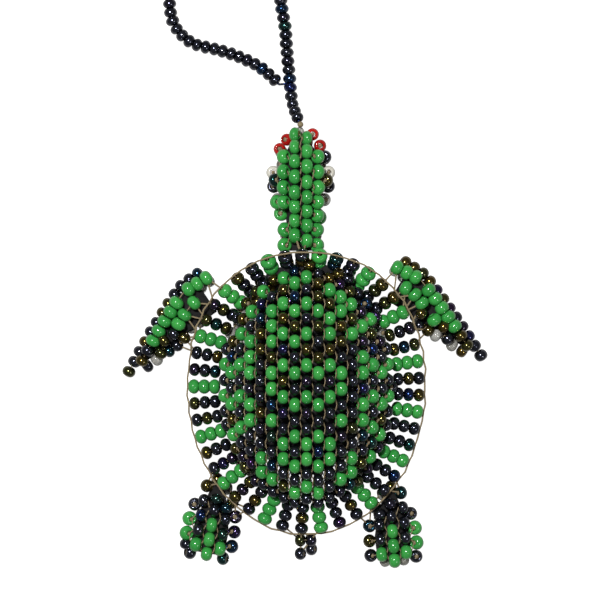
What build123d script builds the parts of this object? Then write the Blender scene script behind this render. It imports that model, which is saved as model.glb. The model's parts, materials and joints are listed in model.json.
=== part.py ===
from build123d import *

import os
from math import acos, cos, pi, radians, sin, sqrt, tan

import numpy as np

# A sea turtle woven from glass seed beads, about 75 mm from nose to rear flippers.
# +Y is the turtle's head, +Z its back, +X its right side. It lies on its belly on the
# plane z = 0, and the origin is under the middle of the turtle's own box. All in millimetres.
#
# Every bead is a separate solid with a real hole. The beads of one colour in one panel share a
# node. A bead is only added where it clears the beads that are already there, as when weaving.

# ---------------------------------------------------------------- driving dimensions

BORE = 0.9
# kind of bead: (outside diameter, length along the hole)
BEAD_SIZES = {
    "green": (2.48, 1.66),
    "dark": (2.24, 1.54),
    "clear": (2.2, 1.5),
    "white": (2.4, 1.6),
    "red": (2.2, 1.5),
    "strap": (2.2, 1.34),
}
# least gap between two beads of one panel, and between beads of panels that move apart
BEAD_GAP = 0.02
HINGE_GAP = 0.42

COLUMN_PITCH = 1.92
STEP = 2.6

SHELL_X, SHELL_Y = 0.5, -6.25
SHELL_HALF_WIDTH = 14.3
SHELL_HALF_LENGTH = 19.9
SHELL_RISE = 9.0
RIM_Z = 5.2
RIM_BAND = 2.15

FRINGE_HALF_WIDTH = 15.3
FRINGE_HALF_LENGTH = 20.2
FRINGE_ROWS = 45
FRINGE_STEP = 1.76
FRINGE_DROOP = -8.0
FRINGE_FRONT_LIFT = 62.0

THREAD_RADIUS = 0.12
EDGE_THREAD_RADIUS = 0.18
EDGE_THREAD_REACH = 4.62

# Colour charts of the shell, one string for each column from head to tail, G green and K dark.
# Column 0 runs along the crest, negative columns are on the turtle's left.
SHELL_CHART = {
    -9: "KKKKKKGKGKKKKKKK",
    -8: "KKKKGKGKGKKGKKKKK",
    -7: "KKKGKKGKGKGKKKKK",
    -6: "KKGKGKGKGKGKKGKKK",
    -5: "KGGKGGGKGGKKGKKK",
    -4: "KGKKKKKKKKKKGGKKK",
    -3: "KKGGGKGGKGKKKGGK",
    -2: "GKGKGKGKGKKGGKKKK",
    -1: "GKGKGKGKGKGKGKGK",
    0: "GKGKGKGKGKKGGKGKK",
    1: "KKGKKKGKGKGKGKGK",
    2: "KGKGGKGKGKKGGKKKK",
    3: "KGGKKKGGKGKKKGGK",
    4: "KKGKGKKKKKKKGGKKK",
    5: "KKKGKGGKGGKKGKKK",
    6: "KKKGKKGKGKGKGKKKK",
    7: "KKKGKKGKGKGKGKKK",
    8: "KKKKGKGKGKKGKKKKK",
    9: "KKKKKKGKGKKKKKKK",
}
# The dome's middle lies this many steps behind the first bead of an even column.
CHART_MIDDLE = 7.45

# Stations of the head and neck: y, half width, half height, height of the axis,
# all for the surface that the bead centres lie on.
HEAD_STATIONS = [
    (16.4, 2.9, 1.7, 3.7),
    (20.7, 2.95, 1.9, 3.9),
    (22.6, 3.3, 2.4, 4.2),
    (24.4, 4.0, 3.1, 4.7),
    (26.5, 4.55, 3.6, 5.1),
    (29.4, 4.6, 3.7, 5.2),
    (32.3, 4.0, 3.3, 5.0),
    (34.6, 2.9, 2.5, 4.7),
    (36.3, 1.6, 1.4, 4.4),
]
HEAD_X = -0.45
EYE_Y = 29.4

# ---------------------------------------------------------------- beads

placed = []
nodes = {}
edge_samples = np.empty((0, 3))


def bead_solid(kind):
    """One round glass bead along Z: a ring whose section is a full circle cut by the bore."""
    outer, length = BEAD_SIZES[kind]
    round_radius = length / 2
    core = outer / 2 - round_radius
    end = sqrt(round_radius**2 - (BORE / 2 - core) ** 2)
    with BuildPart() as bead:
        with BuildSketch(Plane.XZ):
            with BuildLine():
                wall = Line((BORE / 2, -end), (BORE / 2, end))
                ThreePointArc(wall @ 1, (outer / 2, 0), wall @ 0)
            make_face()
        revolve(axis=Axis.Z)
    return bead.part


def ring_points(axis, radius):
    """Points on a circle about an axis through the origin."""
    helper = np.array([0, 0, 1.0]) if abs(axis[2]) < 0.9 else np.array([1.0, 0, 0])
    side = np.cross(axis, helper)
    side /= np.linalg.norm(side)
    other = np.cross(axis, side)
    turns = np.linspace(0, 2 * pi, 16, endpoint=False)[:, None]
    return radius * (np.cos(turns) * side + np.sin(turns) * other)


def distance_to_disc(points, centre, axis, radius):
    """Least distance from any of the points to a flat disc."""
    away = points - centre
    along = away @ axis
    out = np.linalg.norm(away - np.outer(along, axis), axis=1)
    return np.hypot(along, np.maximum(out - radius, 0)).min()


def beads_clear(first, second):
    """Gap between two beads, each a flat core disc with a full round edge."""
    discs = []
    for kind, centre, axis in (first, second):
        outer, length = BEAD_SIZES[kind]
        discs.append((centre, axis, outer / 2 - length / 2, length / 2))
    (c1, a1, r1, e1), (c2, a2, r2, e2) = discs
    one = distance_to_disc(c1 + ring_points(a1, r1), c2, a2, r2)
    two = distance_to_disc(c2 + ring_points(a2, r2), c1, a1, r1)
    return min(one, two) - e1 - e2


def thread_gap(bead, samples):
    """Gap between a bead and a thread that runs through the sampled points."""
    outer, length = BEAD_SIZES[bead[0]]
    reach = distance_to_disc(samples, bead[1], bead[2], outer / 2 - length / 2)
    return reach - length / 2 - EDGE_THREAD_RADIUS


def panel_of(node):
    """Moving panel that a node belongs to, or the shell."""
    for panel in ("right_front", "left_front", "right_rear", "left_rear", "tail", "strap"):
        if node.startswith(panel):
            return panel
    return "head" if node.startswith(("head", "eye", "mouth")) else "shell"


def thread_on(node, kind, centre, axis):
    """Add a bead to a node if it clears every bead that is already placed."""
    centre = np.array(centre, dtype=float)
    axis = np.array(axis, dtype=float)
    axis = axis / np.linalg.norm(axis)
    bead = (kind, centre, axis)
    panel = panel_of(node)
    if panel != "shell" and len(edge_samples) and thread_gap(bead, edge_samples) < HINGE_GAP:
        return False
    for other, other_panel in placed:
        if np.linalg.norm(other[1] - centre) < 3.3:
            gap = BEAD_GAP if panel == other_panel else HINGE_GAP
            if beads_clear(bead, other) < gap:
                return False
    placed.append((bead, panel))
    nodes.setdefault(node, []).append(bead)
    return True


# ---------------------------------------------------------------- woven surfaces


def section(half_width, half_height, exponent, arc):
    """Walk along a superellipse from its crest: (across, up, tangent across, tangent up)."""
    turns = np.linspace(0, pi, 241)
    across = half_width * np.abs(np.sin(turns)) ** (2 / exponent)
    up = half_height * np.sign(np.cos(turns)) * np.abs(np.cos(turns)) ** (2 / exponent)
    lengths = np.concatenate(([0], np.cumsum(np.hypot(np.diff(across), np.diff(up)))))
    reach = abs(arc)
    if reach > lengths[-1]:
        return None
    here = np.interp(reach, lengths, across), np.interp(reach, lengths, up)
    before = max(reach - 0.1, 0)
    after = min(reach + 0.1, lengths[-1])
    run = np.interp(after, lengths, across) - np.interp(before, lengths, across)
    rise = np.interp(after, lengths, up) - np.interp(before, lengths, up)
    side = 1 if arc >= 0 else -1
    return side * here[0], here[1], run, side * rise


def tube_skin(centre_of, heading, half_width_of, half_height_of, exponent, flip=1):
    """Surface of a flattened tube. Returns a function of (station, arc) to (point, hole axis)."""
    across = np.array([heading[1], -heading[0], 0.0])
    up = np.array([0.0, 0.0, flip])

    def skin(station, arc):
        spot = section(half_width_of(station), half_height_of(station), exponent, arc)
        if spot is None:
            return None
        point = centre_of(station) + across * spot[0] + up * spot[1]
        return point, across * spot[2] + up * spot[3]

    return skin


def column_path(skin, arc, start, finish):
    """Sampled column of a skin, where the skin is wide enough: (distances, points, hole axes)."""
    spots = []
    for station in np.linspace(start, finish, 200):
        spot = skin(station, arc)
        if spot is not None:
            spots.append(spot)
        elif spots:
            break
    if len(spots) < 2:
        return None
    points = np.array([spot[0] for spot in spots])
    axes = np.array([spot[1] for spot in spots])
    runs = np.linalg.norm(np.diff(points, axis=0), axis=1)
    return np.concatenate(([0], np.cumsum(runs))), points, axes


def place_on(path, distance):
    """Point and hole axis at a distance along a sampled column."""
    travel, points, axes = path
    point = np.array([np.interp(distance, travel, points[:, i]) for i in range(3)])
    axis = np.array([np.interp(distance, travel, axes[:, i]) for i in range(3)])
    return point, axis


def weave(skin, arc, middle, ends, steps, add_bead):
    """Set counted beads along one column, each at its distance from the column's middle."""
    for way in (1, -1):
        path = column_path(skin, arc, middle, ends[0] if way > 0 else ends[1])
        if path is None:
            continue
        for number, distance in steps:
            reach = distance * way
            if 0 <= reach <= path[0][-1] and (distance != 0 or way > 0):
                add_bead(number, *place_on(path, reach))


def fill(skin, arc, ends, step, add_bead):
    """Set beads along one column as close as they go, from one end to the other."""
    path = column_path(skin, arc, *ends)
    distance = 0.0
    number = 0
    while path is not None and distance <= path[0][-1]:
        if add_bead(number, *place_on(path, distance)):
            distance += step
            number += 1
        else:
            distance += 0.1


def interpolate(stations, column):
    """Piecewise straight value of one column of a station table."""
    places = [row[0] for row in stations]
    values = [row[column] for row in stations]
    return lambda place: float(np.interp(place, places, values))


# ---------------------------------------------------------------- fringe


def rim_point(turn):
    return np.array(
        [SHELL_X - FRINGE_HALF_WIDTH * cos(turn), SHELL_Y + FRINGE_HALF_LENGTH * sin(turn), RIM_Z]
    )


def rim_turns():
    """Angles of the fringe rows, evenly spaced along the rim from the left side over the head."""
    turns = np.linspace(0, 2 * pi, 2001)
    points = np.array([rim_point(turn) for turn in turns])
    travel = np.concatenate(([0], np.cumsum(np.linalg.norm(np.diff(points, axis=0), axis=1))))
    marks = np.arange(FRINGE_ROWS) * travel[-1] / FRINGE_ROWS
    return np.interp(marks, travel, turns)


def row_direction(turn):
    """Fringe rows point outwards, droop at the sides and rear, and stand up at the neck."""
    out = np.array([-cos(turn) * FRINGE_HALF_LENGTH, sin(turn) * FRINGE_HALF_WIDTH, 0.0])
    out /= np.linalg.norm(out)
    front = max(0.0, sin(turn)) ** 2
    lift = radians(FRINGE_DROOP + (FRINGE_FRONT_LIFT - FRINGE_DROOP) * front)
    return out * cos(lift) + np.array([0, 0, sin(lift)])


fringe_rows = [(rim_point(turn), row_direction(turn)) for turn in rim_turns()]
for number, (start, direction) in enumerate(fringe_rows):
    colour = "green" if number % 3 == 0 else "dark"
    for place in range(3):
        centre = start + direction * FRINGE_STEP * place
        thread_on(f"fringe_{colour}_beads", colour, centre, direction)

# The edge thread runs straight from the outer end of each row to the next one's.
edge_points = [start + direction * EDGE_THREAD_REACH for start, direction in fringe_rows]
edge_samples = np.array(
    [
        here + (after - here) * share
        for here, after in zip(edge_points, edge_points[1:] + edge_points[:1])
        for share in (0, 0.25, 0.5, 0.75)
    ]
)

# ---------------------------------------------------------------- shell and belly


def shell_half_width(y):
    return SHELL_HALF_WIDTH * sqrt(max(1e-6, 1 - ((y - SHELL_Y) / SHELL_HALF_LENGTH) ** 2))


def shell_rise(y):
    return SHELL_RISE * sqrt(max(1e-6, 1 - ((y - SHELL_Y) / SHELL_HALF_LENGTH) ** 2))


def belly_depth(y):
    depth = RIM_Z - BEAD_SIZES["clear"][0] / 2
    return depth * (max(1e-6, 1 - abs((y - SHELL_Y) / SHELL_HALF_LENGTH) ** 4)) ** 0.25


shell_ends = (SHELL_Y + SHELL_HALF_LENGTH - 0.1, SHELL_Y - SHELL_HALF_LENGTH + 0.1)
dome = tube_skin(
    lambda y: np.array([SHELL_X, y, RIM_Z]), (0, 1), shell_half_width, shell_rise, 2.0
)
belly = tube_skin(
    lambda y: np.array([SHELL_X, y, RIM_Z]), (0, 1), shell_half_width, belly_depth, 3.6, flip=-1
)

for column in sorted(SHELL_CHART, key=abs):
    chart = SHELL_CHART[column]
    shift = 0 if column % 2 == 0 else 0.5

    def add_shell_bead(number, point, axis):
        if point[2] > RIM_Z + RIM_BAND:
            colour = "green" if chart[number] == "G" else "dark"
            thread_on(f"shell_{colour}_beads", colour, point, axis)

    steps = [(n, (CHART_MIDDLE - n - shift) * STEP) for n in range(len(chart))]
    weave(dome, column * COLUMN_PITCH, SHELL_Y, shell_ends, steps, add_shell_bead)


def add_rim_bead(number, point, axis):
    """Dark beads close the dome down to the rim, wherever there is room."""
    above_rim = point[2] > RIM_Z + 1.0
    return above_rim and thread_on("shell_dark_beads", "dark", point, axis)


for column in (9, 10, 8, 7, 6, 5, 4, 3, 2, 1, 0):
    for side in (-1, 1):
        fill(dome, side * column * COLUMN_PITCH, shell_ends, STEP - 0.1, add_rim_bead)


def add_belly_bead(number, point, axis):
    if point[2] < RIM_Z - 1.2:
        thread_on("belly_clear_beads", "clear", point, axis)


for column in range(-9, 10):
    shift = 0 if column % 2 == 0 else 0.5
    steps = [(n, (n + shift) * STEP) for n in range(-9, 9)]
    weave(belly, column * COLUMN_PITCH, SHELL_Y, shell_ends, steps, add_belly_bead)

# ---------------------------------------------------------------- head and neck

head_half_width = interpolate(HEAD_STATIONS, 1)
head_half_height = interpolate(HEAD_STATIONS, 2)
head_axis_z = interpolate(HEAD_STATIONS, 3)
head = tube_skin(
    lambda y: np.array([HEAD_X, y, head_axis_z(y)]),
    (0, 1),
    head_half_width,
    head_half_height,
    2.2,
)
head_ends = (HEAD_STATIONS[-1][0], 17.3)


def head_colour(arc, point):
    """Green back, white eyes in a dark patch, a red mouth line and a clear underside."""
    side = abs(arc)
    level = point[2] - head_axis_z(point[1])
    from_eye = abs(point[1] - EYE_Y)
    if side > 4.5 and from_eye < 2.9 and level > -1.6:
        return "dark"
    if point[1] > EYE_Y + 2.4 and -1.3 < level < 1.3:
        return "red"
    if level > -0.7:
        return "green"
    return "clear"


HEAD_NODES = {
    "green": "head_green_beads",
    "dark": "head_dark_beads",
    "red": "mouth_red_beads",
    "clear": "head_clear_beads",
}


def add_head_bead(arc):
    def add_one(number, point, axis):
        colour = head_colour(arc, point)
        return thread_on(HEAD_NODES[colour], colour, point, axis)

    return add_one


EYE_ARC = 6.7
for side in (-1, 1):
    thread_on("eye_white_beads", "white", *head(EYE_Y, side * EYE_ARC))
# Tubular weave: each column starts a third of a step further back than its left neighbour.
for arc in (-1, 1, -3, 3):
    steps = [(n, (n - (arc + 1) / 6) * STEP) for n in range(-6, 6)]
    weave(head, arc, 26.0, head_ends, steps, add_head_bead(arc))
for arc in (5.05, 7.15, 9.25, 11.35, 12.9):
    for side in (-1, 1):
        fill(head, side * arc, head_ends, STEP - 0.05, add_head_bead(arc))

# ---------------------------------------------------------------- front flippers

FRONT_LENGTH = 15.6
FRONT_HALF_WIDTH = 3.9
FRONT_THICKNESS = 2.1
FRONT_PITCH = 1.72
# rows over the top of the front flipper: distance from the leading edge and where the row starts
FRONT_TOP_ROWS = [
    (-0.3, -4.6),
    (2.15, -5.4),
    (4.6, -5.6),
    (7.0, -3.6),
    (9.3, -1.2),
]
# rows round the trailing edge and under the flipper: distance from the trailing edge and start
FRONT_UNDER_ROWS = [
    (0.1, 0.4),
    (-2.1, -0.2),
    (-4.3, -2.6),
    (-6.5, -5.4),
]


def front_narrowing(s):
    """Width of the flipper as a share of its root width: a long triangle with a soft shoulder."""
    return max(0.02, 1.0 - 0.95 * max(0.0, (s + 1.5) / (FRONT_LENGTH + 1.5)) ** 1.15)


def front_flipper(name, side, root, heading_deg):
    """A flat tube of rows that run along the flipper. Its trailing edge starts at root."""
    angle = radians(heading_deg)
    along = np.array([side * cos(angle), sin(angle), 0.0])
    ahead = np.array([-side * sin(angle), cos(angle), 0.0])

    def spot(s, arc, from_leading=False):
        narrow = front_narrowing(s)
        half_width = FRONT_HALF_WIDTH * narrow
        half_height = FRONT_THICKNESS * narrow**0.35 * min(1.0, 0.72 + 0.05 * (s + 5.6))
        centre_z = 4.4 - 0.1 * (s + 5.6)
        middle = np.array([root[0], root[1], 0.0]) + along * s + ahead * (half_width + 1.15)
        place = section(half_height, half_width, 2.4, abs(arc))
        if place is None:
            return None
        level = place[0] if arc > 0 else -place[0]
        lateral = place[1] if from_leading else -place[1]
        return middle + ahead * lateral + np.array([0, 0, centre_z + level])

    def row(arc, start, from_leading, colour_of):
        s = start
        while s < FRONT_LENGTH - 0.2:
            point = spot(s, arc, from_leading)
            after = spot(s + 0.3, arc, from_leading)
            before = spot(s - 0.3, arc, from_leading)
            if point is None or after is None or before is None:
                break
            colour = colour_of(s, arc)
            if thread_on(f"{name}_{colour}_beads", colour, point, after - before):
                s += FRONT_PITCH
            else:
                s += 0.08

    def top_colour(s, arc):
        """A green field behind the dark leading row, dark again behind it and at the tip."""
        return "green" if 1.0 < arc < 6.0 and s < 10.5 - 0.55 * arc else "dark"

    for arc, start in FRONT_TOP_ROWS:
        row(arc, start, True, top_colour)
    for arc, start in FRONT_UNDER_ROWS:
        row(arc, start, False, lambda s, arc: "clear")


front_flipper("right_front_flipper", 1, (16.35, 4.4), -31.0)
front_flipper("left_front_flipper", -1, (-16.3, 2.6), -35.0)

# ---------------------------------------------------------------- rear flippers

REAR_STATIONS = [
    (0.0, 1.6, 0.7),
    (3.0, 2.5, 1.1),
    (6.0, 3.5, 1.3),
    (9.0, 4.1, 1.3),
    (12.0, 4.0, 1.1),
    (14.4, 3.0, 0.8),
]
# columns of the right rear flipper from its inner edge (negative) to its outer edge, root to tip
REAR_CHART = {
    -3: "GGGGKK",
    -2: "KKGGKK",
    -1: "KKKKKG",
    0: "GGKKGG",
    1: "GKKKKG",
    2: "KKKKKK",
    3: "KKGKGG",
}


def rear_flipper(name, side, root, tip, length):
    """A fan-shaped flat tube, woven across, with a dark and green top and a clear underside."""
    start = np.array([*root, 3.2])
    finish = np.array([*tip, 2.35])
    heading = (finish - start)[:2] / np.linalg.norm((finish - start)[:2])
    half_width = interpolate(REAR_STATIONS, 1)
    half_height = interpolate(REAR_STATIONS, 2)
    skin = tube_skin(
        lambda s: start + (finish - start) * s / length, heading, half_width, half_height, 2.3
    )

    def weave_column(arc, column):
        def add_rear_bead(number, point, axis):
            middle_z = start[2] + (finish[2] - start[2]) * number / 6
            colour = "clear"
            if point[2] > middle_z - 0.9 and abs(column) <= 3:
                chart = REAR_CHART[column * side]
                colour = "green" if chart[min(max(number, 0), 5)] == "G" else "dark"
            return thread_on(f"{name}_{colour}_beads", colour, point, axis)

        shift = 0 if column % 2 == 0 else 0.5
        steps = [(n + 3, (0.5 - n - shift) * 2.52) for n in range(-3, 4)]
        if abs(column) < 2:
            weave(skin, arc, length / 2, (0.3, length), steps, add_rear_bead)
        else:
            fill(skin, arc, (0.3, length), 2.52, add_rear_bead)

    for column in (0, 1, -1, 2, -2, 3, -3, 4, -4, 5, -5):
        weave_column(column * 2.05, column)


rear_flipper("right_rear_flipper", 1, (14.2, -22.3), (15.3, -36.1), 13.8)
rear_flipper("left_rear_flipper", -1, (-13.8, -20.9), (-16.4, -35.4), 14.7)

# ---------------------------------------------------------------- tail

tail = tube_skin(
    lambda s: np.array([0.35, -31.7 - s, 2.3]),
    (0, -1),
    interpolate([(0, 1.9, 1.0), (3.2, 1.2, 0.9)], 1),
    interpolate([(0, 1.9, 1.0), (3.2, 1.2, 0.9)], 2),
    2.0,
)


def add_tail_bead(number, point, axis):
    return thread_on("tail_beads", "dark", point, axis)


for arc in (0.9, -0.9, 2.8, -2.8, 4.6):
    fill(tail, arc, (0.0, 3.2), 2.3, add_tail_bead)

# ---------------------------------------------------------------- strap

STRAP_Z = 1.12
# The strap leaves the nose, runs out as the right strand, turns back in a loop and
# returns as the left strand to the fork near the nose.
STRAP_ROUTE = [
    (-0.75, 38.0, 3.9),
    (-1.5, 39.7, 2.5),
    (-2.1, 42.2, 1.3),
    (-2.3, 45.6, STRAP_Z),
    (-2.8, 49.6, STRAP_Z),
    (-3.0, 54.0, STRAP_Z),
    (-4.2, 60.0, STRAP_Z),
    (-3.6, 69.0, STRAP_Z),
    (-5.5, 79.5, STRAP_Z),
    (-12.5, 87.5, STRAP_Z),
    (-21.5, 85.5, STRAP_Z),
    (-25.8, 77.0, STRAP_Z),
    (-24.2, 68.0, STRAP_Z),
    (-22.6, 60.0, STRAP_Z),
    (-22.3, 54.8, STRAP_Z),
    (-19.2, 51.2, STRAP_Z),
    (-14.3, 50.3, STRAP_Z),
    (-10.0, 48.8, STRAP_Z),
    (-6.4, 46.9, STRAP_Z),
    (-4.4, 44.6, STRAP_Z),
]
STRAP_PITCH = 1.5
STRAP_THREAD_RADIUS = 0.25


def corner_radii(points, closed=False):
    """Largest arcs that fit: 0.45 of the shorter run over the tangent of half the turn."""
    points = [np.array(point, dtype=float) for point in points]
    count = len(points)
    radii = []
    for i in range(0 if closed else 1, count if closed else count - 1):
        before = points[i] - points[i - 1]
        after = points[(i + 1) % count] - points[i]
        shorter = min(np.linalg.norm(before), np.linalg.norm(after))
        cosine = before @ after / np.linalg.norm(before) / np.linalg.norm(after)
        radii.append(0.45 * shorter / tan(acos(max(-1.0, min(1.0, cosine))) / 2))
    return radii


def smooth_tube(points, tube_radius, closed=False):
    """A round thread along straight runs joined by tangent arcs. Returns (solid, path)."""
    radii = corner_radii(points, closed)
    with BuildPart() as tube:
        with BuildLine() as line:
            FilletPolyline(*[tuple(point) for point in points], radius=radii, close=closed)
        path = line.wires()[0]
        start = path.position_at(0)
        with BuildSketch(Plane(origin=start, z_dir=path.tangent_at(0))):
            Circle(tube_radius)
        sweep(path=path)
    expected = pi * tube_radius**2 * path.length
    print(f"  tube {path.length:.1f} mm, volume {tube.part.volume / expected:.4f} of expected")
    return tube.part, path


strap_thread, strap_path = smooth_tube(STRAP_ROUTE, STRAP_THREAD_RADIUS)
print("strap radii", [round(radius, 1) for radius in corner_radii(STRAP_ROUTE)])
travel = 0.9
while travel < strap_path.length - 0.5:
    part_way = travel / strap_path.length
    spot = strap_path.position_at(part_way)
    axis = strap_path.tangent_at(part_way)
    placed_here = thread_on("strap_beads", "strap", tuple(spot), tuple(axis))
    travel += STRAP_PITCH if placed_here else 0.05

# ---------------------------------------------------------------- write the nodes

os.makedirs("parts", exist_ok=True)
bead_of = {kind: bead_solid(kind) for kind in BEAD_SIZES}


def write_node(name, part):
    part.label = name
    export_step(part, f"parts/{name}.step")
    print(f"{name}: {len(part.solids())} solids, {part.volume:.1f} mm3")


for name, beads in nodes.items():
    places = [Plane(origin=tuple(centre), z_dir=tuple(axis)) for _, centre, axis in beads]
    with BuildPart() as bead_node:
        with Locations(*places):
            add(bead_of[beads[0][0]])
    write_node(name, bead_node.part)

write_node("strap_thread", strap_thread)

KNOT_RADIUS = 0.5
KNOT_BACK = 0.72
first_run = np.array(STRAP_ROUTE[1]) - np.array(STRAP_ROUTE[0])
knot_centre = np.array(STRAP_ROUTE[0]) - first_run / np.linalg.norm(first_run) * KNOT_BACK
with BuildPart() as nose_knot:
    with Locations(tuple(knot_centre)):
        Sphere(KNOT_RADIUS)
write_node("nose_knot", nose_knot.part)

# fringe: a straight thread through each row, and one thread round the rows' outer ends
ROW_THREAD_INNER = -0.85
ROW_THREAD_OUTER = EDGE_THREAD_REACH - EDGE_THREAD_RADIUS - 0.07
row_length = ROW_THREAD_OUTER - ROW_THREAD_INNER
row_middle = (ROW_THREAD_OUTER + ROW_THREAD_INNER) / 2
row_planes = [
    Plane(origin=tuple(start + direction * row_middle), z_dir=tuple(direction))
    for start, direction in fringe_rows
]
with BuildPart() as fringe_row_threads:
    with Locations(*row_planes):
        Cylinder(THREAD_RADIUS, row_length)
write_node("fringe_row_threads", fringe_row_threads.part)

edge_thread, edge_path = smooth_tube(edge_points, EDGE_THREAD_RADIUS, closed=True)
write_node("edge_thread", edge_thread)

# stuffing: soft wadding that holds the dome and the head up from inside
STUFFING_FLOOR = 3.7
with BuildPart() as shell_stuffing:
    with BuildSketch(Plane.XY.offset(STUFFING_FLOOR)):
        with Locations((SHELL_X, SHELL_Y)):
            Ellipse(9.8, 14.6)
    extrude(amount=4.0)
    with BuildSketch(Plane.XY.offset(STUFFING_FLOOR + 4.0)):
        with Locations((SHELL_X, SHELL_Y)):
            Ellipse(6.8, 10.6)
    extrude(amount=3.2)
write_node("shell_stuffing", shell_stuffing.part)

with BuildPart() as head_stuffing:
    with BuildSketch(Plane.XZ.offset(-25.2)):
        with Locations((HEAD_X, 5.0)):
            Ellipse(2.2, 1.25)
    extrude(amount=-7.0)
write_node("head_stuffing", head_stuffing.part)
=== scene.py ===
"""Looks of the bead-woven sea turtle: glass beads, weaving thread, edge thread and bead strap."""

import json
import math
import random

import bpy
import numpy as np
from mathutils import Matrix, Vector


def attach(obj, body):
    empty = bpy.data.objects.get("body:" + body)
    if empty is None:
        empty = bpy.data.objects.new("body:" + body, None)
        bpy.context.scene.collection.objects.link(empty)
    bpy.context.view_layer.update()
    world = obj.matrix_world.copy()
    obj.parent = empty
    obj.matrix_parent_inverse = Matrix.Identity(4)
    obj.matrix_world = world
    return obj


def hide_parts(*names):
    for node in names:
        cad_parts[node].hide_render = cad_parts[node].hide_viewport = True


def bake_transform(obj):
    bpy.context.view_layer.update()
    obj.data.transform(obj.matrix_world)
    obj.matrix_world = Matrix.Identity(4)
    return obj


MM = 0.001

# where each flipper leaves the shell and which way it points, in millimetres and degrees
FRONT_FLIPPERS = {
    "right_front_flipper": {"side": 1, "root": (16.35, 4.4), "heading_deg": -31.0},
    "left_front_flipper": {"side": -1, "root": (-16.3, 2.6), "heading_deg": -35.0},
}
REAR_FLIPPERS = {
    "right_rear_flipper": {"root": (14.2, -22.3), "tip": (15.3, -36.1)},
    "left_rear_flipper": {"root": (-13.8, -20.9), "tip": (-16.4, -35.4)},
}
# sizes shared by the flippers' linings and extra beads, in millimetres
FRONT_HALF_WIDTH = 3.9
FRONT_EDGE_OFFSET = 1.15
FRONT_LINING_Z = 3.84
FRONT_LINING_INSET = 0.75
FRONT_LINING_HALF_HEIGHT = 0.75
REAR_ROOT_Z = 3.2
REAR_TIP_Z = 2.35

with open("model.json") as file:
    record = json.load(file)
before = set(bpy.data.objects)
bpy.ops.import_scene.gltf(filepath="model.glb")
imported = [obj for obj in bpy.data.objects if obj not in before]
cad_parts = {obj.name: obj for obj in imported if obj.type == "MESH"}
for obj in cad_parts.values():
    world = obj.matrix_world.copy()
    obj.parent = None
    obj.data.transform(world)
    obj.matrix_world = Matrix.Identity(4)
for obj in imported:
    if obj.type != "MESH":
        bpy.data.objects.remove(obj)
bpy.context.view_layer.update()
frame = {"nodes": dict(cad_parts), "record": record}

# ---------------------------------------------------------------- materials


def new_material(name):
    material = bpy.data.materials.new(name)
    material.use_nodes = True
    tree = material.node_tree
    return material, tree, tree.nodes["Principled BSDF"]


def mix_colours(tree, factor, first, second, blend="MIX"):
    """Mix node: each input is a socket or a plain colour."""
    node = tree.nodes.new("ShaderNodeMix")
    node.data_type = "RGBA"
    node.blend_type = blend
    for socket, value in ((node.inputs[0], factor), (node.inputs[6], first), (node.inputs[7], second)):
        if isinstance(value, bpy.types.NodeSocket):
            tree.links.new(value, socket)
        elif socket is node.inputs[0]:
            socket.default_value = value
        else:
            socket.default_value = (*value, 1.0)
    return node.outputs[2]


def bead_tint(tree):
    """Per-bead random numbers, stored on the mesh: red, green and blue are independent."""
    attribute = tree.nodes.new("ShaderNodeAttribute")
    attribute.attribute_name = "tint"
    split = tree.nodes.new("ShaderNodeSeparateColor")
    tree.links.new(attribute.outputs["Color"], split.inputs[0])
    return split.outputs


def ramp(tree, factor, stops):
    node = tree.nodes.new("ShaderNodeValToRGB")
    elements = node.color_ramp.elements
    while len(elements) < len(stops):
        elements.new(0.5)
    for element, (place, colour) in zip(elements, stops):
        element.position = place
        element.color = (*colour, 1.0)
    tree.links.new(factor, node.inputs[0])
    return node.outputs[0]


def fine_bump(tree, shader, scale, strength, distance):
    noise = tree.nodes.new("ShaderNodeTexNoise")
    noise.inputs["Scale"].default_value = scale
    noise.inputs["Detail"].default_value = 3.0
    coordinates = tree.nodes.new("ShaderNodeTexCoord")
    tree.links.new(coordinates.outputs["Object"], noise.inputs["Vector"])
    bump = tree.nodes.new("ShaderNodeBump")
    bump.inputs["Strength"].default_value = strength
    bump.inputs["Distance"].default_value = distance
    tree.links.new(noise.outputs["Fac"], bump.inputs["Height"])
    tree.links.new(bump.outputs["Normal"], shader.inputs["Normal"])
    return noise.outputs["Fac"]


def green_glass():
    """Opaque glossy green glass with small differences from bead to bead."""
    material, tree, shader = new_material("green_glass")
    tint = bead_tint(tree)
    streak = fine_bump(tree, shader, 900, 0.12, 0.00004)
    body = ramp(
        tree, tint[0], [(0.0, (0.024, 0.24, 0.035)), (0.5, (0.034, 0.31, 0.045)), (1.0, (0.055, 0.39, 0.06))]
    )
    body = mix_colours(tree, streak, body, (0.05, 0.4, 0.08))
    tree.links.new(body, shader.inputs["Base Color"])
    shader.inputs["Roughness"].default_value = 0.16
    shader.inputs["Coat Weight"].default_value = 0.6
    shader.inputs["Coat Roughness"].default_value = 0.05
    return material


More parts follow.
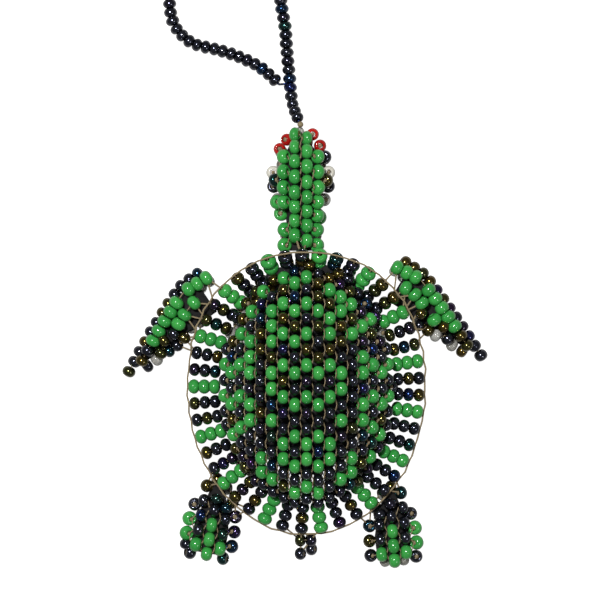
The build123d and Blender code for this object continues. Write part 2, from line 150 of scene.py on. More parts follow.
def dark_glass():
    """Near-black glass with a metallic iris coat: gold, teal, blue, violet or gunmetal glints. Each rim
    carries painted shade, near black where the bead turns away from the camera.
    """
    material, tree, shader = new_material("dark_glass")
    tint = bead_tint(tree)
    fine_bump(tree, shader, 700, 0.1, 0.00004)
    iris = ramp(
        tree,
        tint[1],
        [
            (0.0, (0.19, 0.125, 0.02)),
            (0.2, (0.12, 0.12, 0.03)),
            (0.36, (0.015, 0.085, 0.08)),
            (0.5, (0.015, 0.035, 0.17)),
            (0.62, (0.075, 0.03, 0.1)),
            (0.74, (0.05, 0.055, 0.085)),
            (1.0, (0.075, 0.08, 0.11)),
        ],
    )
    # painted shade: the base colour falls to near black towards each bead's rim, as the camera sees it
    rim_shade = tree.nodes.new("ShaderNodeLayerWeight")
    rim_shade.inputs["Blend"].default_value = 0.35
    colour = mix_colours(tree, rim_shade.outputs["Facing"], iris, (0.003, 0.004, 0.006))
    tree.links.new(colour, shader.inputs["Base Color"])
    shader.inputs["Metallic"].default_value = 0.92
    shader.inputs["Roughness"].default_value = 0.17
    shader.inputs["Coat Weight"].default_value = 0.8
    shader.inputs["Coat Roughness"].default_value = 0.04
    return material


def see_through_glass(name, low, high, transmission, roughness):
    material, tree, shader = new_material(name)
    tint = bead_tint(tree)
    fine_bump(tree, shader, 600, 0.12, 0.00004)
    tree.links.new(ramp(tree, tint[0], [(0.0, low), (1.0, high)]), shader.inputs["Base Color"])
    shader.inputs["Transmission Weight"].default_value = transmission
    shader.inputs["Roughness"].default_value = roughness
    shader.inputs["Coat Weight"].default_value = 0.8
    shader.inputs["Coat Roughness"].default_value = 0.04
    return material


def thread_material():
    """Waxed beige thread: fine twist lines, with painted shade darkening the grooves."""
    material, tree, shader = new_material("thread")
    wave = tree.nodes.new("ShaderNodeTexWave")
    wave.inputs["Scale"].default_value = 2600
    wave.inputs["Distortion"].default_value = 1.5
    coordinates = tree.nodes.new("ShaderNodeTexCoord")
    tree.links.new(coordinates.outputs["Object"], wave.inputs["Vector"])
    # painted shade: dark in the twist grooves and lighter on the ridges, following the bump
    colour = ramp(tree, wave.outputs["Fac"], [(0.0, (0.17, 0.12, 0.06)), (1.0, (0.4, 0.32, 0.19))])
    tree.links.new(colour, shader.inputs["Base Color"])
    bump = tree.nodes.new("ShaderNodeBump")
    bump.inputs["Strength"].default_value = 0.5
    bump.inputs["Distance"].default_value = 0.00004
    tree.links.new(wave.outputs["Fac"], bump.inputs["Height"])
    tree.links.new(bump.outputs["Normal"], shader.inputs["Normal"])
    shader.inputs["Roughness"].default_value = 0.7
    return material


# near-black stuffing: painted shade, so the gaps between the beads read dark
def shade_wadding_material():
    material, tree, shader = new_material("painted_shade_wadding")
    cloud = fine_bump(tree, shader, 500, 0.8, 0.0004)
    colour = ramp(tree, cloud, [(0.3, (0.004, 0.004, 0.005)), (0.8, (0.02, 0.018, 0.018))])
    tree.links.new(colour, shader.inputs["Base Color"])
    shader.inputs["Roughness"].default_value = 0.95
    return material


MATERIALS = {
    "green_glass": green_glass(),
    "dark_glass": dark_glass(),
    "clear_glass": see_through_glass("clear_glass", (0.5, 0.49, 0.43), (0.86, 0.85, 0.8), 0.55, 0.08),
    "white_glass": see_through_glass("white_glass", (0.66, 0.63, 0.52), (0.78, 0.75, 0.66), 0.0, 0.14),
    "red_glass": see_through_glass("red_glass", (0.55, 0.008, 0.006), (0.8, 0.02, 0.012), 0.35, 0.08),
    "thread": thread_material(),
    "stuffing": shade_wadding_material(),
}

# ---------------------------------------------------------------- reading beads from the frame


def bead_places(node):
    """Centre, hole axis, outside radius and half length of every bead of a frame node."""
    mesh = frame["nodes"][node].data
    points = np.array([vertex.co[:] for vertex in mesh.vertices])
    keys, index = np.unique(np.round(points, 6), axis=0, return_inverse=True)
    index = index.reshape(-1)
    parent = np.arange(len(keys))

    def root(i):
        while parent[i] != i:
            parent[i] = parent[parent[i]]
            i = parent[i]
        return i

    for edge in mesh.edges:
        first, second = root(index[edge.vertices[0]]), root(index[edge.vertices[1]])
        if first != second:
            parent[second] = first
    groups = {}
    for i in range(len(keys)):
        groups.setdefault(root(i), []).append(keys[i])
    places = []
    for group in groups.values():
        cloud = np.array(group)
        centre = (cloud.max(axis=0) + cloud.min(axis=0)) / 2
        away = cloud - centre
        values, vectors = np.linalg.eigh(away.T @ away)
        odd = 0 if values[1] - values[0] > values[2] - values[1] else 2
        axis = vectors[:, odd]
        if axis[int(np.argmax(np.abs(axis)))] < 0:
            axis = -axis
        along = np.abs(away @ axis)
        across = np.linalg.norm(away - np.outer(away @ axis, axis), axis=1)
        places.append((centre, axis, across.max(), along.max()))
    places.sort(key=lambda place: tuple(np.round(place[0] * 1e4)))
    return places


# ---------------------------------------------------------------- building meshes

BEAD_SIDES = 20
ARC_STEPS = 7
ARC_REACH_DEG = 84


def bead_profile(radius, half_length, bore):
    """Section of a seed bead: fully rounded outside, slightly flared hole."""
    core = max(radius - half_length, bore * 0.9)
    reach = radius - core
    rows = []
    for step in range(ARC_STEPS + 1):
        turn = math.radians(-ARC_REACH_DEG + 2 * ARC_REACH_DEG * step / ARC_STEPS)
        rows.append((core + reach * math.cos(turn), half_length * math.sin(turn)))
    rows.append((bore * 1.12, half_length * 0.9))
    rows.append((bore, half_length * 0.55))
    rows.append((bore, -half_length * 0.55))
    rows.append((bore * 1.12, -half_length * 0.9))
    return rows


def side_vectors(axis):
    helper = np.array([0.0, 0.0, 1.0]) if abs(axis[2]) < 0.9 else np.array([1.0, 0.0, 0.0])
    side = np.cross(axis, helper)
    side /= np.linalg.norm(side)
    return side, np.cross(axis, side)


def add_ring_body(store, centre, axis, profile, wobble, tint):
    """Revolve a closed profile about an axis and append it to a mesh store."""
    side, other = side_vectors(axis)
    first = len(store["points"])
    for radius, along in profile:
        for turn in range(BEAD_SIDES):
            angle = 2 * math.pi * turn / BEAD_SIDES
            swell = 1 + wobble[0] * math.cos(angle + wobble[1])
            direction = side * math.cos(angle) + other * math.sin(angle)
            store["points"].append(centre + direction * radius * swell + axis * along)
            store["tints"].append(tint)
    rows = len(profile)
    for row in range(rows):
        after = (row + 1) % rows
        for turn in range(BEAD_SIDES):
            next_turn = (turn + 1) % BEAD_SIDES
            store["faces"].append(
                (
                    first + row * BEAD_SIDES + turn,
                    first + row * BEAD_SIDES + next_turn,
                    first + after * BEAD_SIDES + next_turn,
                    first + after * BEAD_SIDES + turn,
                )
            )


PLAIN_TINT = (0.5, 0.5, 0.5)


def add_tube(store, points, radius, sides=7):
    """A closed round tube through points, appended to a mesh store."""
    points = [np.array(point) for point in points]
    first = len(store["points"])
    for i, point in enumerate(points):
        run = points[min(i + 1, len(points) - 1)] - points[max(i - 1, 0)]
        run = run / max(np.linalg.norm(run), 1e-9)
        side, other = side_vectors(run)
        for turn in range(sides):
            angle = 2 * math.pi * turn / sides
            store["points"].append(point + (side * math.cos(angle) + other * math.sin(angle)) * radius)
            store["tints"].append(PLAIN_TINT)
    for i in range(len(points) - 1):
        for turn in range(sides):
            next_turn = (turn + 1) % sides
            base = first + i * sides
            store["faces"].append(
                (base + turn, base + next_turn, base + sides + next_turn, base + sides + turn)
            )
    last = first + (len(points) - 1) * sides
    store["faces"].append(tuple(first + sides - 1 - turn for turn in range(sides)))
    store["faces"].append(tuple(last + turn for turn in range(sides)))


def new_store():
    return {"points": [], "faces": [], "tints": []}


def make_piece(name, store, material):
    """A smooth-shaded object made from a mesh store, with its tints as a colour attribute."""
    mesh = bpy.data.meshes.new(name)
    mesh.from_pydata([tuple(point) for point in store["points"]], [], store["faces"])
    colours = mesh.color_attributes.new("tint", "FLOAT_COLOR", "POINT")
    values = np.ones((len(store["points"]), 4), dtype=np.float32)
    values[:, :3] = np.array(store["tints"], dtype=np.float32)
    colours.data.foreach_set("color", values.ravel())
    mesh.polygons.foreach_set("use_smooth", [True] * len(mesh.polygons))
    mesh.materials.append(MATERIALS[material])
    mesh.validate()
    mesh.update()
    piece = bpy.data.objects.new(name, mesh)
    bpy.context.scene.collection.objects.link(piece)
    return piece


BORE_RADIUS = 0.42 * MM
# factors on a frame bead's radius and length: real beads press together where the frame keeps them apart
ROUND = 0.98
LONG = 1.13
BEAD_TILT = 0.045


def add_bead(store, rng, centre, axis, radius, half_length, iris=None, shape=(ROUND, LONG)):
    """One bead with its own small faults: size, tilt, roundness and colour."""
    tilt = np.array([rng.uniform(-1, 1) for _ in range(3)]) * BEAD_TILT
    axis = axis + tilt
    axis = axis / np.linalg.norm(axis)
    size = rng.uniform(0.965, 1.012)
    thick = rng.uniform(0.94, 1.03)
    wobble = (rng.uniform(0.0, 0.02), rng.uniform(0, 2 * math.pi))
    tint = (rng.random(), rng.random() if iris is None else iris(rng, centre), rng.random())
    profile = bead_profile(radius * shape[0] * size, half_length * shape[1] * thick, BORE_RADIUS)
    add_ring_body(store, centre, axis, profile, wobble, tint)


# ---------------------------------------------------------------- beads

SLOTS = {part["node"]: part["material_slot"] for part in frame["record"]["subparts"]}
BODY_OF = {}
for body_name, body_nodes in frame["record"]["behaviour"]["bodies"].items():
    for body_node in body_nodes:
        BODY_OF[body_node] = body_name


GOLD_FROM_Y = -2 * MM


def iris_colour(rng, centre):
    """Place on the dark glass ramp. Gold gathers in the front half, and gunmetal further back."""
    gold = 0.42 if centre[1] > GOLD_FROM_Y else 0.14
    draw = rng.random()
    if draw < gold:
        return rng.uniform(0.0, 0.24)
    if draw < gold + 0.16:
        return rng.uniform(0.32, 0.62)
    return rng.uniform(0.68, 1.0)


NOSE_Y = 33.5 * MM


def bead_shape(node, centre):
    """Factors on a bead's radius and length. Beads are fullest at the front of the fringe."""
    if node.startswith("fringe"):
        front = min(max((centre[1] - 6 * MM) / (8 * MM), 0.0), 1.0)
        return 1.0 + 0.12 * front, 1.14
    if "flipper" in node:
        return 1.02, 1.16
    if node.startswith("head"):
        return (1.0, 1.0) if centre[1] > NOSE_Y else (1.03, 1.16)
    return ROUND, LONG


panels = {}
for node in sorted(frame["nodes"]):
    if not node.endswith("_beads") or node == "strap_beads":
        continue
    rng = random.Random(node)
    store = new_store()
    places = bead_places(node)
    iris = iris_colour if SLOTS[node] == "dark_glass" else None
    for centre, axis, radius, half_length in places:
        add_bead(store, rng, centre, axis, radius, half_length, iris, bead_shape(node, centre))
    piece = make_piece(f"{node}_glass", store, SLOTS[node])
    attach(piece, BODY_OF[node])
    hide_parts(node)
    family = "fringe" if node.startswith("fringe") else "belly" if node.startswith("belly") else BODY_OF[node]
    panels.setdefault(family, []).extend(places)

# ---------------------------------------------------------------- weaving thread

LINK_RADIUS = 0.085 * MM
LINK_REACH = 1.75 * MM
HOLE_THREAD_RADIUS = 0.36 * MM


def weaving_thread(places, outward):
    """Short thread strokes from hole to hole between neighbouring beads."""
    ends = []
    store = new_store()
    for number, (centre, axis, _, half_length) in enumerate(places):
        core = axis * half_length * 0.92
        add_tube(store, [centre - core, centre + core], HOLE_THREAD_RADIUS)
        for way in (-1, 1):
            ends.append((number, way, centre + axis * way * (half_length + 0.03 * MM)))
    spots = np.array([end[2] for end in ends])
    done = set()
    for i, (number, way, spot) in enumerate(ends):
        centre, axis, _, half_length = places[number]
        gaps = np.linalg.norm(spots - spot, axis=1)
        links = 0
        for j in np.argsort(gaps):
            other, other_way, other_spot = ends[j]
            if gaps[j] > LINK_REACH or links == 2:
                break
            facing = (axis * way) @ (places[other][1] * other_way)
            if other == number or facing > -0.3 or (min(i, j), max(i, j)) in done:
                continue
            done.add((min(i, j), max(i, j)))
            links += 1
            inner = places[other][0] + places[other][1] * other_way * places[other][3] * 0.5
            middle = (spot + other_spot) / 2
            lift = outward(middle) * 0.05 * MM
            path = [centre + axis * way * half_length * 0.5, spot, middle + lift, other_spot, inner]
            add_tube(store, path, LINK_RADIUS)
    return store


def away_from(point):
    """A function that gives the unit direction from a point to any spot."""

    def outward(spot):
        run = spot - point
        return run / max(np.linalg.norm(run), 1e-6)

    return outward


for family, places in sorted(panels.items()):
    if family == "fringe":
        continue
    middle = np.mean([place[0] for place in places], axis=0)
    if family == "shell":
        middle = middle - np.array([0, 0, 8 * MM])
    store = weaving_thread(places, away_from(middle))
    if not store["points"]:
        continue
    piece = make_piece(f"{family}_weaving_thread", store, "thread")
    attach(piece, "shell" if family == "belly" else family)

# ---------------------------------------------------------------- linings, whose near-black is painted shade behind the beads


def shade_lining(name, body, rings, sides=28):
    """A dark inner bag under the beads, near black as painted shade between them: rings are (centre, sideways
    half, upright half, heading).
    """
    store = new_store()
    for centre, half_width, half_height, heading in rings:
        run = np.array(heading) / np.linalg.norm(heading)
        across = np.cross(run, (0.0, 0.0, 1.0))
        across = across / np.linalg.norm(across)
        up = np.cross(across, run)
        for turn in range(sides):
            angle = 2 * math.pi * turn / sides
            offset = across * math.cos(angle) * half_width + up * math.sin(angle) * half_height
            store["points"].append((np.array(centre) + offset) * MM)
            store["tints"].append(PLAIN_TINT)
    for ring in range(len(rings) - 1):
        for turn in range(sides):
            after = (turn + 1) % sides
            base = ring * sides
            store["faces"].append((base + turn, base + after, base + sides + after, base + sides + turn))
    store["faces"].append(tuple(range(sides)))
    store["faces"].append(tuple(range(len(store["points"]) - 1, len(store["points"]) - sides - 1, -1)))
    piece = make_piece(name, store, "stuffing")
    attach(piece, body)
    return piece


HEAD_X = -0.45
# distance along the body, sideways half, upright half and height of the middle, in millimetres
HEAD_LINING = [
    (16.4, 2.3, 0.6, 3.7),
    (20.7, 2.4, 0.8, 3.9),
    (22.6, 2.5, 1.1, 4.2),
    (24.4, 2.8, 1.8, 4.7),
    (26.5, 3.2, 2.3, 5.1),
    (29.4, 3.2, 2.4, 5.2),
    (32.3, 2.7, 2.0, 5.0),
    (34.6, 1.6, 1.2, 4.7),
    (35.7, 0.6, 0.5, 4.5),
]
# the head's stuffing becomes a near-black bag: painted shade between the head's beads
head_shade_lining = shade_lining(
    "head_shade_lining", "head", [((HEAD_X, y, z), wide, high, (0, 1, 0)) for y, wide, high, z in HEAD_LINING]
)
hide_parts("head_stuffing")

# middle of the shell seen from above, in millimetres
SHELL_X = 0.5
SHELL_Y = -6.25
# painted shade: a near-black bag under the steep front rows, seen between their beads: columns as for the
# head
SHELL_FRONT_LINING = [
    (6.5, 10.2, 0.5, 6.2),
    (9.0, 9.4, 0.6, 6.2),
    (11.5, 7.8, 0.6, 6.3),
    (13.3, 5.4, 0.5, 6.6),
    (14.0, 3.2, 0.3, 6.8),
]
shade_lining(
    "shell_front_shade_lining",
    "shell",
    [((SHELL_X, y, z), wide, high, (0, 1, 0)) for y, wide, high, z in SHELL_FRONT_LINING],
)


def front_narrowing(s):
    """Width of a front flipper at distance s from its root, as a share of the root width."""
    return 1.0 - 0.95 * max(0.0, (s + 1.5) / 17.1) ** 1.15


def front_directions(side, heading_deg, fall=0.0):
    """Directions along a front flipper, falling by a share of its length, and towards its front edge."""
    angle = math.radians(heading_deg)
    along = np.array([side * math.cos(angle), math.sin(angle), -fall])
    return along, np.array([-side * math.sin(angle), math.cos(angle), 0.0])


def front_lining(name, side, root, heading_deg):
    """The dark bag inside a front flipper, flattening towards the tip: painted shade between its beads."""
    along, ahead = front_directions(side, heading_deg, fall=0.1)
    rings = []
    for s in (-3.6, -1.5, 1.5, 4.5, 7.5, 10.0, 12.0):
        narrow = front_narrowing(s)
        half_width = FRONT_HALF_WIDTH * narrow
        middle = np.array([*root, FRONT_LINING_Z]) + along * s + ahead * (half_width + FRONT_EDGE_OFFSET)
        half_height = max(FRONT_LINING_HALF_HEIGHT * narrow, 0.12)
        rings.append((middle, half_width - FRONT_LINING_INSET, half_height, along * (1, 1, 0)))
    shade_lining(f"{name}_lining", name, rings)


def rear_ends(root, tip):
    return np.array([*root, REAR_ROOT_Z]), np.array([*tip, REAR_TIP_Z])


# share of the length and sideways half of the rings inside a rear flipper
REAR_LINING = ((0.1, 0.9), (0.25, 1.5), (0.45, 2.4), (0.65, 3.0), (0.8, 2.9), (0.92, 2.2))
REAR_LINING_HALF_HEIGHT = 0.35


def rear_lining(name, root, tip):
    """The dark bag inside a rear flipper: painted shade between its beads."""
    start, finish = rear_ends(root, tip)
    heading = (finish - start) * (1, 1, 0)
    rings = []
    for share, wide in REAR_LINING:
        rings.append((start + (finish - start) * share, wide, REAR_LINING_HALF_HEIGHT, heading))
    shade_lining(f"{name}_lining", name, rings)


for name, facts in FRONT_FLIPPERS.items():
    front_lining(name, **facts)
for name, facts in REAR_FLIPPERS.items():
    rear_lining(name, **facts)

# ---------------------------------------------------------------- thread round the shell edge

EDGE_THREAD_RADIUS = 0.15 * MM
EDGE_THREAD_OFFSET = 0.2 * MM
# the last bead of a row has no other bead's centre this near to the place beyond its end
ROW_END_ROOM = 0.8 * MM
fringe = panels["fringe"]
middle = np.mean([place[0] for place in fringe], axis=0)
spots = np.array([place[0] for place in fringe])
row_ends = []
for centre, axis, _, half_length in fringe:
    way = 1 if axis[:2] @ (centre - middle)[:2] > 0 else -1
    beyond = centre + axis * way * 2 * half_length
    gaps = np.linalg.norm(spots - beyond, axis=1)
    if gaps.min() > ROW_END_ROOM:
        row_ends.append((centre + axis * way * (half_length + EDGE_THREAD_OFFSET), axis * way))
row_ends.sort(key=lambda end: math.atan2(end[0][1] - middle[1], end[0][0] - middle[0]))
edge_rng = random.Random("edge")
edge_points = []
for (here, way), (after, other_way) in zip(row_ends, row_ends[1:] + row_ends[:1]):
    edge_points.append(here)
    slack = (way + other_way) / 2 * edge_rng.uniform(0.02, 0.32) * MM
    edge_points.append((here + after) / 2 + slack + np.array([0, 0, edge_rng.uniform(-0.1, 0.1) * MM]))
edge_store = new_store()
add_tube(edge_store, edge_points + edge_points[:2], EDGE_THREAD_RADIUS, sides=8)
edge = make_piece("edge_thread_loose", edge_store, "thread")
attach(edge, "shell")
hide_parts("edge_thread")

# ---------------------------------------------------------------- beads that close the gaps

EXTRA_RADIUS = 1.1 * MM
EXTRA_HALF = 0.86 * MM
# distance between rows of extra beads, in millimetres
EXTRA_ROW = 1.85
# least distance between the centres of an extra bead and its neighbours
FLIPPER_ROOM = 1.62 * MM
SHELL_FRONT_ROOM = 1.72 * MM
# distances that the extra beads keep from the fringe, the edge thread and the head
FRINGE_ROOM = 2.45 * MM
EDGE_ROOM = 1.45 * MM
HEAD_ROOM = 3.2 * MM
FRONT_EDGE_ROOM = 1.3 * MM
# extent of the shell's rim and heights that are tried at its front, in millimetres
SHELL_HALF_WIDTH = 15.0
SHELL_HALF_LENGTH = 20.4
FRONT_SPOT_HEIGHTS = (7.9, 7.0)
fringe_centres = np.array([place[0] for place in panels["fringe"]])
edge_centres = np.array(edge_points)


def nearest(points, spot):
    return np.linalg.norm(points - spot, axis=1).min()


def close_gaps(name, body, candidates, room, keep_off):
    """Dark beads wherever the woven rows leave the lining bare."""
    taken = [place[0] for place in panels[body]]
    rng = random.Random(name)
    store = new_store()
    for centre, axis in candidates:
        if nearest(np.array(taken), centre) < room:
            continue
        if any(nearest(points, centre) < gap for points, gap in keep_off):
            continue
        taken.append(centre)
        axis = axis / np.linalg.norm(axis)
        add_bead(store, rng, centre, axis, EXTRA_RADIUS, EXTRA_HALF, iris_colour, (1.0, 1.0))
    if store["points"]:
        piece = make_piece(name, store, "dark_glass")
        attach(piece, body)


def front_candidates(side, root, heading_deg):
    """Places over the top of a front flipper, row by row from its trailing edge."""
    along, ahead = front_directions(side, heading_deg)
    found = []
    for row in range(5):
        for step in range(40):
            s = -3.2 + 0.4 * step
            narrow = front_narrowing(s)
            half_width = FRONT_HALF_WIDTH * narrow
            lateral = -half_width + EXTRA_ROW * row
            if lateral > half_width:
                continue
            half_height = 2.1 * narrow**0.35 * min(1.0, 0.72 + 0.05 * (s + 5.6))
            rise = half_height * (1 - (abs(lateral) / half_width) ** 2.4) ** (1 / 2.4)
            spot = np.array([*root, 4.4 - 0.1 * (s + 5.6) + rise]) + along * s
            found.append(((spot + ahead * (half_width + FRONT_EDGE_OFFSET + lateral)) * MM, along))
    return found


def rear_candidates(root, tip):
    """Places over the top of a rear flipper, row by row from its middle."""
    start, finish = rear_ends(root, tip)
    run = (finish - start) / np.linalg.norm(finish - start)
    across = np.cross(run, (0.0, 0.0, 1.0))
    shares = (0.0, 0.21, 0.43, 0.64, 0.86, 1.0)
    found = []
    for row in (0, 1, -1, 2, -2, 3, -3):
        for step in range(34):
            share = 0.03 + step / 35
            half_width = np.interp(share, shares, (1.6, 2.5, 3.5, 4.1, 4.0, 3.0))
            half_height = np.interp(share, shares, (0.7, 1.1, 1.3, 1.3, 1.1, 0.8))
            lateral = EXTRA_ROW * row
            if abs(lateral) > half_width:
                continue
            rise = half_height * (1 - (abs(lateral) / half_width) ** 2.3) ** (1 / 2.3)
            spot = start + (finish - start) * share + across * lateral + np.array([0, 0, rise])
            found.append((spot * MM, run))
    return found


clear_of_edge = [(fringe_centres, FRINGE_ROOM), (edge_centres, EDGE_ROOM)]
for name, facts in FRONT_FLIPPERS.items():
    close_gaps(f"{name}_more_beads", name, front_candidates(**facts), FLIPPER_ROOM, clear_of_edge)
for name, facts in REAR_FLIPPERS.items():
    close_gaps(f"{name}_more_beads", name, rear_candidates(**facts), FLIPPER_ROOM, clear_of_edge)

# steep rows at the front of the shell: beads crowd between them
front_spots = []
for row in range(12):
    for step in range(60):
        spot = np.array([-11.8 + 0.4 * step, 14.0 - 0.75 * row]) * MM
        sideways = (spot[0] / MM - SHELL_X) / SHELL_HALF_WIDTH
        outside = sideways**2 + ((spot[1] / MM - SHELL_Y) / SHELL_HALF_LENGTH) ** 2
        if outside > 1.0 or outside < 0.45:
            continue
        way = np.array([spot[0] - SHELL_X * MM, spot[1] - SHELL_Y * MM, 12 * MM])
        for height in FRONT_SPOT_HEIGHTS:
            front_spots.append((np.array([spot[0], spot[1], height * MM]), way))
head_centres = np.array([place[0] for place in panels["head"]])
panels["shell"] = panels["shell"] + panels["fringe"]
close_gaps(
    "shell_front_more_beads",
    "shell",
    front_spots,
    SHELL_FRONT_ROOM,
    [(head_centres, HEAD_ROOM), (edge_centres, FRONT_EDGE_ROOM)],
)

# ---------------------------------------------------------------- stitches that carry the limbs

STITCH_RADIUS = 0.14 * MM
STITCH_SAG = 0.12 * MM
STITCHED_BEADS = {
    "head": 5,
    "right_front_flipper": 6,
    "left_front_flipper": 6,
    "right_rear_flipper": 5,
    "left_rear_flipper": 5,
    "tail": 3,
}
shell_centres = np.array([place[0] for place in panels["belly"] + panels["shell"]])


def stitches(body, count):
    """Threads from the first beads of a limb to the nearest beads of the shell's edge."""
    limb = np.array([place[0] for place in panels[body]])
    gaps = np.linalg.norm(limb[:, None, :] - shell_centres[None, :, :], axis=2)
    store = new_store()
    starts, ends = [], []
    for bead in np.argsort(gaps.min(axis=1))[:count]:
        for target in np.argsort(gaps[bead])[:2]:
            start, end = shell_centres[target], limb[bead]
            sag = np.array([0, 0, -STITCH_SAG])
            points = []
            for share in (0.0, 0.25, 0.5, 0.75, 1.0):
                points.append(start + (end - start) * share + sag * 4 * share * (1 - share))
            add_tube(store, points, STITCH_RADIUS, sides=6)
            starts.append(start)
            ends.append(end)
    piece = make_piece(f"{body}_stitches", store, "thread")
    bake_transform(piece)


for body, count in STITCHED_BEADS.items():
    stitches(body, count)

# ---------------------------------------------------------------- nodes that keep their shape

# the shell's stuffing takes the near-black stuffing material: painted shade seen between the beads
for node in ("fringe_row_threads", "shell_stuffing", "nose_knot"):
    data = frame["nodes"][node].data
    data.materials.clear()
    data.materials.append(MATERIALS[SLOTS[node]])

# ---------------------------------------------------------------- strap

STRAP_FLOOR = 1.17
STRAP_ROUTE = [
    (-0.75, 38.0, 3.9),
    (-1.5, 39.7, 2.5),
    (-2.1, 42.2, 1.3),
    (-2.3, 45.6, STRAP_FLOOR),
    (-2.8, 49.6, STRAP_FLOOR),
    (-3.0, 54.0, STRAP_FLOOR),
    (-4.2, 60.0, STRAP_FLOOR),
    (-3.6, 69.0, STRAP_FLOOR),
    (-5.5, 79.5, STRAP_FLOOR),
    (-12.5, 87.5, STRAP_FLOOR),
    (-21.5, 85.5, STRAP_FLOOR),
    (-25.8, 77.0, STRAP_FLOOR),
    (-24.2, 68.0, STRAP_FLOOR),
    (-22.6, 60.0, STRAP_FLOOR),
    (-22.3, 54.8, STRAP_FLOOR),
    (-19.2, 51.2, STRAP_FLOOR),
    (-14.3, 50.3, STRAP_FLOOR),
    (-10.0, 48.8, STRAP_FLOOR),
    (-6.4, 46.9, STRAP_FLOOR),
    (-4.1, 44.4, STRAP_FLOOR),
]
STRAP_PITCH = 1.47 * MM
STRAP_BEAD_RADIUS = 1.16 * MM
STRAP_BEAD_HALF = 0.78 * MM
STRAP_START = 0.9 * MM
STRAP_END_ROOM = 0.4 * MM
# the beads next to the nose are slimmer
STRAP_SLIM_REACH = 4 * MM
STRAP_SLIM = 0.93
STRAP_THREAD_RADIUS = 0.22 * MM
TIE_RADIUS = 0.18 * MM
TIE_LIFT = 0.35 * MM


def strap_iris(rng, centre):
    """The strap is nearly all gunmetal, with a rare blue or teal bead."""
    return rng.uniform(0.34, 0.56) if rng.random() < 0.12 else rng.uniform(0.72, 1.0)


def route_line(route):
    """Points of the smooth line through a route, read from its NURBS spline."""
    curve = bpy.data.curves.new("strap_route", "CURVE")
    curve.dimensions = "3D"
    curve.resolution_u = 16
    spline = curve.splines.new("NURBS")
    spline.points.add(len(route) - 1)
    for point, place in zip(spline.points, route):
        point.co = (*[value * MM for value in place], 1.0)
    spline.order_u = 3
    spline.use_endpoint_u = True
    holder = bpy.data.objects.new("strap_route", curve)
    mesh = bpy.data.meshes.new_from_object(holder)
    line = [np.array(vertex.co[:]) for vertex in mesh.vertices]
    bpy.data.objects.remove(holder)
    bpy.data.meshes.remove(mesh)
    return line


def along_line(line, distance):
    travel = 0.0
    for here, after in zip(line, line[1:]):
        run = np.linalg.norm(after - here)
        if travel + run >= distance:
            return here + (after - here) * (distance - travel) / run, (after - here) / run
        travel += run
    return line[-1], (line[-1] - line[-2]) / np.linalg.norm(line[-1] - line[-2])


strap_line = route_line(STRAP_ROUTE)
strap_length = sum(np.linalg.norm(b - a) for a, b in zip(strap_line, strap_line[1:]))
strap_rng = random.Random("strap")
strap_store = new_store()
distance = STRAP_START
while distance < strap_length - STRAP_END_ROOM:
    centre, axis = along_line(strap_line, distance)
    slim = STRAP_SLIM if distance < STRAP_SLIM_REACH else 1.0
    add_bead(
        strap_store, strap_rng, centre, axis, STRAP_BEAD_RADIUS, STRAP_BEAD_HALF, strap_iris, (slim, slim)
    )
    distance += STRAP_PITCH * strap_rng.uniform(0.97, 1.03)
add_tube(strap_store, strap_line, STRAP_THREAD_RADIUS, sides=8)
# the returning end is tied to the outgoing strand, which closes the loop
outgoing = strap_line[: len(strap_line) // 2]
fork = min(outgoing, key=lambda point: np.linalg.norm(point - strap_line[-1]))
for lift in (-TIE_LIFT, TIE_LIFT):
    halfway = (fork + strap_line[-1]) / 2 + (0, 0, lift)
    add_tube(strap_store, [strap_line[-1], halfway, fork], TIE_RADIUS)
strap = make_piece("strap_string", strap_store, "dark_glass")
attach(strap, "strap")
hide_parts("strap_beads", "strap_thread")

# ---------------------------------------------------------------- stage, light, camera

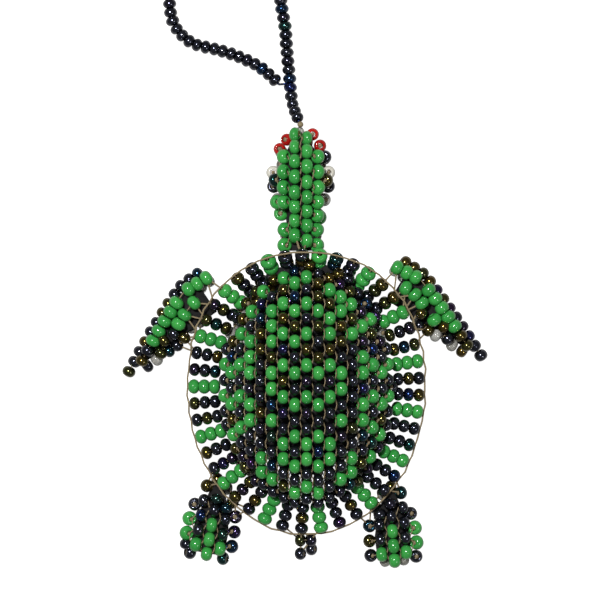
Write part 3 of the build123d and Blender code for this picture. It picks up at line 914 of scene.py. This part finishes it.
FLOOR_HALF = 1.5
floor_mesh = bpy.data.meshes.new("floor")
floor_mesh.from_pydata(
    [(x * FLOOR_HALF, y * FLOOR_HALF, 0) for x, y in ((-1, -1), (1, -1), (1, 1), (-1, 1))],
    [],
    [(0, 1, 2, 3)],
)
floor_material, floor_tree, floor_shader = new_material("paper_floor")
floor_grain = fine_bump(floor_tree, floor_shader, 300, 0.05, 0.0001)
floor_tree.links.new(
    ramp(floor_tree, floor_grain, [(0.3, (0.44, 0.435, 0.42)), (0.7, (0.48, 0.475, 0.46))]),
    floor_shader.inputs["Base Color"],
)
floor_shader.inputs["Roughness"].default_value = 0.9
# the paper is overexposed to plain white where the camera sees it directly
floor_rays = floor_tree.nodes.new("ShaderNodeLightPath")
floor_tree.links.new(floor_rays.outputs["Is Camera Ray"], floor_shader.inputs["Emission Strength"])
floor_shader.inputs["Emission Color"].default_value = (1.0, 1.0, 1.0, 1.0)
floor_mesh.materials.append(floor_material)
floor = bpy.data.objects.new("floor", floor_mesh)
bpy.context.scene.collection.objects.link(floor)

VIEW_CENTRE = Vector((-0.58 * MM, 8.17 * MM, 5 * MM))
CAMERA_HEIGHT = 0.45
SENSOR_MM = 36
VIEW_WIDTH = 0.1
WORLD_STRENGTH = 0.09


def area_light(name, place, size, power):
    light = bpy.data.lights.new(name, "AREA")
    light.shape = "DISK"
    light.size = size
    light.energy = power
    holder = bpy.data.objects.new(name, light)
    holder.location = place
    holder.rotation_euler = (VIEW_CENTRE - Vector(place)).to_track_quat("-Z", "Y").to_euler()
    bpy.context.scene.collection.objects.link(holder)


area_light("key_light", (-0.1, 0.13, 0.46), 0.055, 2.15)
area_light("fill_light", (0.3, -0.2, 0.4), 0.1, 0.3)

world = bpy.data.worlds.new("studio")
world.use_nodes = True
world.node_tree.nodes["Background"].inputs[0].default_value = (1.0, 1.0, 1.0, 1.0)
world.node_tree.nodes["Background"].inputs[1].default_value = WORLD_STRENGTH
bpy.context.scene.world = world
bpy.context.scene.view_settings.view_transform = "Standard"

camera_data = bpy.data.cameras.new("camera")
camera_data.sensor_width = SENSOR_MM
camera_data.lens = SENSOR_MM * (CAMERA_HEIGHT - VIEW_CENTRE.z) / VIEW_WIDTH
camera_data.clip_start = 0.01
camera = bpy.data.objects.new("camera", camera_data)
camera.location = (VIEW_CENTRE.x, VIEW_CENTRE.y, CAMERA_HEIGHT)
bpy.context.scene.collection.objects.link(camera)
bpy.context.scene.camera = camera
